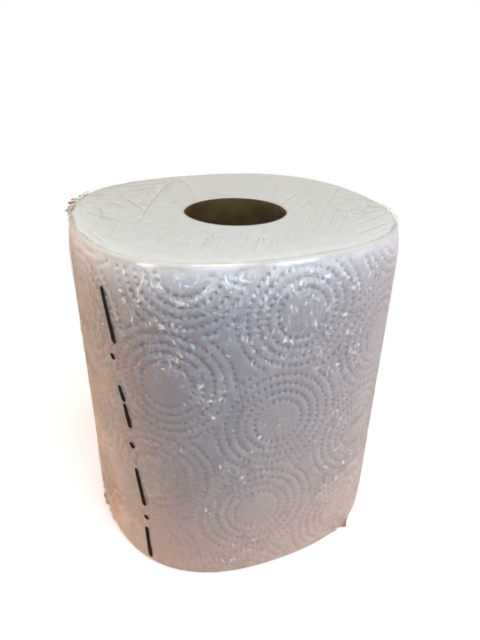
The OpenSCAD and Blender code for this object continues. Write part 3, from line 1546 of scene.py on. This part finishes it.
    def end(self, face: Face) -> tuple[np.ndarray, np.ndarray, np.ndarray]:
        """The film over one end.

        Args:
            face: Which end.

        Returns:
            Its points, the height of the folds there, and its triangles.
        """
        edge = self.rim_rings(face)[-self.columns :]
        folds = self.top_folds if face is Face.TOP else []
        line = np.arange(-self.end_reach, self.end_reach + 1.0, self.pitch)
        inner = np.concatenate([f.points(self.spacing) for f in folds] + [grid_points(line, line)])
        turn = np.arctan2(edge[:, 1], edge[:, 0])
        order = np.argsort(turn)
        reach = np.hypot(edge[:, 0], edge[:, 1])
        limit = np.interp(np.arctan2(inner[:, 1], inner[:, 0]), turn[order], reach[order])
        inner = inner[np.hypot(inner[:, 0], inner[:, 1]) < limit - 2.0 * self.hem]
        hem = edge[:, :2] * (1.0 - self.hem / reach)[:, None]
        flat = np.concatenate([edge[:, :2], hem, thin_out(inner, self.apart, hem)])
        flat, rise, faces = self.crease(flat, folds, len(edge))
        return np.column_stack([flat, edge[0, 2] + rise]), rise, faces

    def build(self, rests_on: bpy.types.Object) -> bpy.types.Object:
        """Makes the bag, gives it its thickness and dresses it.

        Args:
            rests_on: The roll inside; not used.

        Returns:
            The film.
        """
        parts, marks, faces, first = [], [], [], 0
        for points, rise, triangles in (self.side(), self.end(Face.TOP), self.end(Face.BASE)):
            parts.append(points)
            marks.append(self.fold_mark * np.clip(rise / self.fold_full, 0.0, 1.0))
            faces.append(triangles + first)
            first += len(points)
        for face in Face:
            rings = self.rim_rings(face)
            parts.append(rings)
            marks.append(np.tile(np.maximum(self.ear_share(face), self.rim_mark), self.rim_steps + 1))
            faces.append(ring_faces(self.columns, self.rim_steps + 1, first))
            first += len(rings)
        gathered = np.concatenate(marks)
        piece = new_piece("clear_film", np.concatenate(parts), faces, self.finish.mark, gathered)
        thicken(piece, "skin", self.thickness, -1.0)
        apply_modifiers(piece)
        hand_over(piece, "film_wrap", self.finish.material())
        return piece


@dataclass(frozen=True)
class Stroke:
    """One printed stroke: direction in degrees and height at its top end and at its low end."""

    top: Pair
    low: Pair


@dataclass
class PrintedLine:
    """The broken line of dashes and dots printed down the film."""

    form: RollForm
    film: FilmWrap
    finish: InkFinish
    width: float = 3.1
    lift: float = 0.05
    thickness: float = 0.05
    grid: tuple[int, int] = (6, 24)
    round_share: float = 0.6
    tip_share: float = 0.15
    top_share: float = 0.84
    swell_share: float = 0.16
    wobble_share: float = 0.06
    wobble_rate: float = 9.0
    smooth_under: float = math.radians(35.0)
    strokes: tuple[Stroke, ...] = (
        Stroke((-128.2, 183.2), (-124.7, 153.4)),
        Stroke((-127.2, 146.8), (-125.7, 143.8)),
        Stroke((-125.0, 128.9), (-123.2, 119.6)),
        Stroke((-123.4, 118.4), (-121.8, 103.3)),
        Stroke((-122.8, 93.0), (-121.0, 90.0)),
        Stroke((-121.2, 75.8), (-118.9, 48.6)),
        Stroke((-119.4, 40.6), (-117.9, 38.2)),
        Stroke((-119.0, 31.1), (-118.5, 4.5)),
    )

    def half_width(self, t: np.ndarray, long: float, number: int) -> np.ndarray:
        """Half the width of a stroke, with round ends and a slightly uneven edge.

        Args:
            t: Shares of the length from the top end.
            long: Length of the stroke.
            number: Its place in the line, which varies its edge.

        Returns:
            The half width at each share.
        """
        from_end = np.clip(np.minimum(t, 1.0 - t) * long / (self.round_share * self.width), 0.0, 1.0)
        ends = self.tip_share + (1.0 - self.tip_share) * np.sqrt(1.0 - (1.0 - from_end) ** 2)
        wobble = self.wobble_share * np.sin(self.wobble_rate * t + number)
        return 0.5 * self.width * ends * (self.top_share + self.swell_share * t + wobble)

    def lay(self, stroke: Stroke, number: int) -> bpy.types.Object:
        """Shapes a grid into one stroke, lays it onto the film and gives it its thickness.

        Args:
            stroke: The stroke.
            number: Its place in the line, which varies its edge.

        Returns:
            The stroke's mesh piece.
        """
        deselect_all()
        bpy.ops.mesh.primitive_grid_add(x_subdivisions=self.grid[0], y_subdivisions=self.grid[1], size=2.0)
        piece = bpy.context.object
        mesh = piece.data
        plain = np.zeros(3 * len(mesh.vertices))
        mesh.vertices.foreach_get("co", plain)
        u, v = plain.reshape(-1, 3)[:, 0], plain.reshape(-1, 3)[:, 1]
        top = np.array([self.form.arc_at(stroke.top[0]), stroke.top[1]])
        along = np.array([self.form.arc_at(stroke.low[0]), stroke.low[1]]) - top
        long = float(np.linalg.norm(along))
        side = np.array([-along[1], along[0]]) / long
        t = 0.5 - 0.5 * v
        out = u * self.half_width(t, long, number)
        flat = top + along * t[:, None] + side * out[:, None]
        rise = self.film.heights(flat, self.film.side_folds)
        points = self.form.wrap(flat, self.film.grow + rise + self.lift) * MM
        mesh.vertices.foreach_set("co", points.ravel())
        mesh.update()
        thicken(piece, "ink", self.thickness, 0.0)
        apply_modifiers(piece)
        return piece

    def build(self) -> bpy.types.Object:
        """Lays all strokes and joins them.

        Returns:
            The line.
        """
        pieces = [self.lay(stroke, number) for number, stroke in enumerate(self.strokes)]
        make_active(pieces[0])
        for piece in pieces:
            piece.select_set(True)
        bpy.ops.object.join()
        line = bpy.context.object
        line.name = line.data.name = "line_strokes"
        face_outwards(line)
        bpy.ops.object.shade_smooth_by_angle(angle=self.smooth_under)
        hand_over(line, "printed_line", self.finish.material())
        return line


@dataclass(frozen=True)
class SoftBox:
    """A soft lamp that faces the roll, sizes in metres."""

    name: str
    place: Triple
    size: Pair
    watts: float
    colour: Triple
    mirrored: bool = True
    scattered: bool = True
    aim: Triple = (0.0, 0.0, 0.1)

    def build(self) -> None:
        """Adds the lamp."""
        data = bpy.data.lights.new(self.name, "AREA")
        data.shape = "RECTANGLE"
        data.size, data.size_y = self.size
        data.energy = self.watts
        data.color = self.colour
        lamp = bpy.data.objects.new(self.name, data)
        bpy.context.scene.collection.objects.link(lamp)
        lamp.location = self.place
        lamp.visible_camera = False
        lamp.visible_glossy = self.mirrored
        lamp.visible_diffuse = self.scattered
        towards = Vector(self.aim) - Vector(self.place)
        lamp.rotation_euler = towards.to_track_quat("-Z", "Y").to_euler()


@dataclass
class RimLight:
    """A row of small lamps that follows the front of the upper rim, which the film makes bright."""

    form: RollForm
    half: float = 130.0
    count: int = 9
    away: float = 14.0
    above: float = 7.0
    size: Pair = (32.0, 6.0)
    watts: float = 0.0019
    left: Triple = (1.0, 0.98, 0.92)
    right: Triple = (0.90, 0.94, 1.0)

    def build(self) -> None:
        """Adds the lamps from the left to the right."""
        share = np.linspace(0.0, 1.0, self.count)
        angle = self.form.angle_at(self.half * (2.0 * share - 1.0))
        size = (self.size[0] * MM, self.size[1] * MM)
        for place, t in zip(self.form.points(angle, self.form.high, self.away), share):
            colour = tuple(a + (b - a) * float(t) for a, b in zip(self.left, self.right))
            spot = (place[0] * MM, place[1] * MM, (place[2] + self.above) * MM)
            SoftBox("rim_light", spot, size, self.watts, colour, mirrored=False).build()


@dataclass
class Studio:
    """Floor, soft light and the camera at the photograph's angle, sizes in metres."""

    target: Triple = (0.0063, 0.0, 0.1258)
    distance: float = 0.3374
    elevation: float = math.radians(28.07)
    roll: float = math.radians(0.97)
    lens: float = 29.14
    sensor: float = 36.0
    clip_start: float = 0.01
    ambient: Colour = (0.46, 0.60, 1.0, 1.0)
    ambient_level: float = 0.09
    horizon: Triple = (0.02, 0.12, 0.97)
    front: Triple = (0.1, 0.6, 0.4)
    floor_size: float = 8.0
    floor_colour: Colour = (0.95, 0.95, 0.95, 1.0)
    floor_lift: float = 0.55
    near_bounce: Colour = (0.98, 0.54, 0.26, 1.0)
    far_bounce: Colour = (0.20, 0.18, 0.18, 1.0)
    near: float = 0.15
    far: float = 0.30
    glow: float = 0.16
    lamps: tuple[SoftBox, ...] = (
        SoftBox("key", (0.03, -0.13, 0.84), (0.26, 0.26), 3.05, (1.0, 0.88, 0.60)),
        SoftBox("cool_front", (0.16, -0.42, 0.70), (0.22, 0.16), 1.35, (0.22, 0.52, 1.0)),
        SoftBox("back_fill", (0.0, 0.95, 0.22), (0.80, 0.36), 3.0, (0.96, 0.98, 1.0), False),
        SoftBox("left_fill", (-0.72, -0.04, 0.06), (0.60, 0.40), 3.1, (1.0, 0.47, 0.13), False),
        SoftBox("right_fill", (0.74, -0.12, 0.04), (0.60, 0.30), 3.1, (1.0, 0.76, 0.66), False),
        SoftBox("front_window", (0.08, -0.80, 0.40), (0.50, 0.56), 4.0, (0.82, 0.91, 1.0), True, False),
        SoftBox("right_window", (0.72, -0.70, 0.38), (0.30, 0.70), 8.0, (0.88, 0.94, 1.0), True, False),
        SoftBox("left_window", (-0.72, -0.70, 0.38), (0.24, 0.70), 5.0, (1.0, 0.95, 0.88), True, False),
        SoftBox("back_strip", (0.05, 1.15, 0.36), (1.3, 0.16), 3.0, (1.0, 0.97, 0.92), True, False),
    )

    def camera(self) -> None:
        """Sets the camera."""
        data = bpy.data.cameras.new("camera")
        data.lens = self.lens
        data.sensor_width = self.sensor
        data.clip_start = self.clip_start
        camera = bpy.data.objects.new("camera", data)
        bpy.context.scene.collection.objects.link(camera)
        c, s = math.cos(self.elevation), math.sin(self.elevation)
        right, up, forward = Vector((1.0, 0.0, 0.0)), Vector((0.0, s, c)), Vector((0.0, c, -s))
        turned_right = math.cos(self.roll) * right + math.sin(self.roll) * up
        turned_up = math.cos(self.roll) * up - math.sin(self.roll) * right
        axes = Matrix((turned_right, turned_up, -forward)).transposed()
        place = Vector(self.target) - self.distance * forward
        camera.matrix_world = Matrix.Translation(place) @ axes.to_4x4()
        bpy.context.scene.camera = camera

    def seen(self, make: NodeMaker) -> tuple[Socket, Socket]:
        """Finds the rays that show the surroundings.

        Args:
            make: The tree's node maker.

        Returns:
            Shares of rays from the camera, and of rays from it or by a mirror or through glass.
        """
        path = make.add("LightPath").outputs
        bent = make.math("MAXIMUM", path["Is Glossy Ray"], path["Is Transmission Ray"])
        return path["Is Camera Ray"], make.math("MAXIMUM", path["Is Camera Ray"], bent)

    def world(self) -> None:
        """White where it is seen, white low down where it is mirrored, and a soft cool light."""
        world = bpy.data.worlds.new("studio")
        bpy.context.scene.world = world
        world.use_nodes = True
        make = NodeMaker(world.node_tree)
        straight, seen = self.seen(make)
        towards = make.add("SeparateXYZ", Vector=make.add("TexCoord").outputs["Generated"]).outputs
        horizon = make.rest(make.spread(towards["Z"], *self.horizon))
        front = make.spread(make.math("MULTIPLY", towards["Y"], -1.0), *self.front)
        low = make.math("MAXIMUM", horizon, front)
        soft = make.add("Background", Color=self.ambient, Strength=self.ambient_level)
        white = make.add("Background", Color=WHITE, Strength=make.math("MAXIMUM", straight, low))
        make.end("OutputWorld", make.layer(seen, soft, white))

    def floor(self) -> None:
        """A pale floor that keeps the shadow near the roll and fades to white."""
        deselect_all()
        bpy.ops.mesh.primitive_plane_add(size=self.floor_size, location=(0.0, 0.0, 0.0))
        floor = bpy.context.object
        floor.name = "floor"
        material, make = new_material("pale_floor")
        seen = self.seen(make)[1]
        fade = make.spread(make.length(make.place()), self.near, self.far)
        warm = make.blend(fade, self.near_bounce, self.far_bounce)
        warmth = make.math("MULTIPLY", make.rest(fade), self.glow)
        glow = make.add("Emission", Color=warm, Strength=warmth)
        bounce = make.total(make.add("BsdfDiffuse", Color=warm), glow)
        lit = make.add("BsdfDiffuse", Color=self.floor_colour)
        lifted = make.total(lit, make.add("Emission", Strength=self.floor_lift))
        pale = make.layer(fade, lifted, make.add("Emission", Color=WHITE, Strength=1.0))
        make.end("OutputMaterial", make.layer(seen, bounce, pale))
        floor.data.materials.append(material)

    def build(self) -> None:
        """Sets up the whole stage."""
        self.floor()
        self.world()
        for lamp in self.lamps:
            lamp.build()
        self.camera()
        bpy.context.scene.view_settings.view_transform = "Standard"


def main() -> None:
    """Builds the roll from the inside out, then the stage."""
    logging.basicConfig(level=logging.INFO, format="%(name)s: %(message)s")
    low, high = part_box("paper_roll")
    form = RollForm(low=low.z / MM, high=high.z / MM)
    CardboardCore(KraftFinish()).build()
    paper = PaperRoll(form, Emboss(), TissueFinish()).build()
    film = FilmWrap(form, FilmFinish())
    film.build(paper)
    PrintedLine(form, film, InkFinish()).build()
    Studio().build()
    RimLight(form).build()


if __name__ == "__main__":
    main()
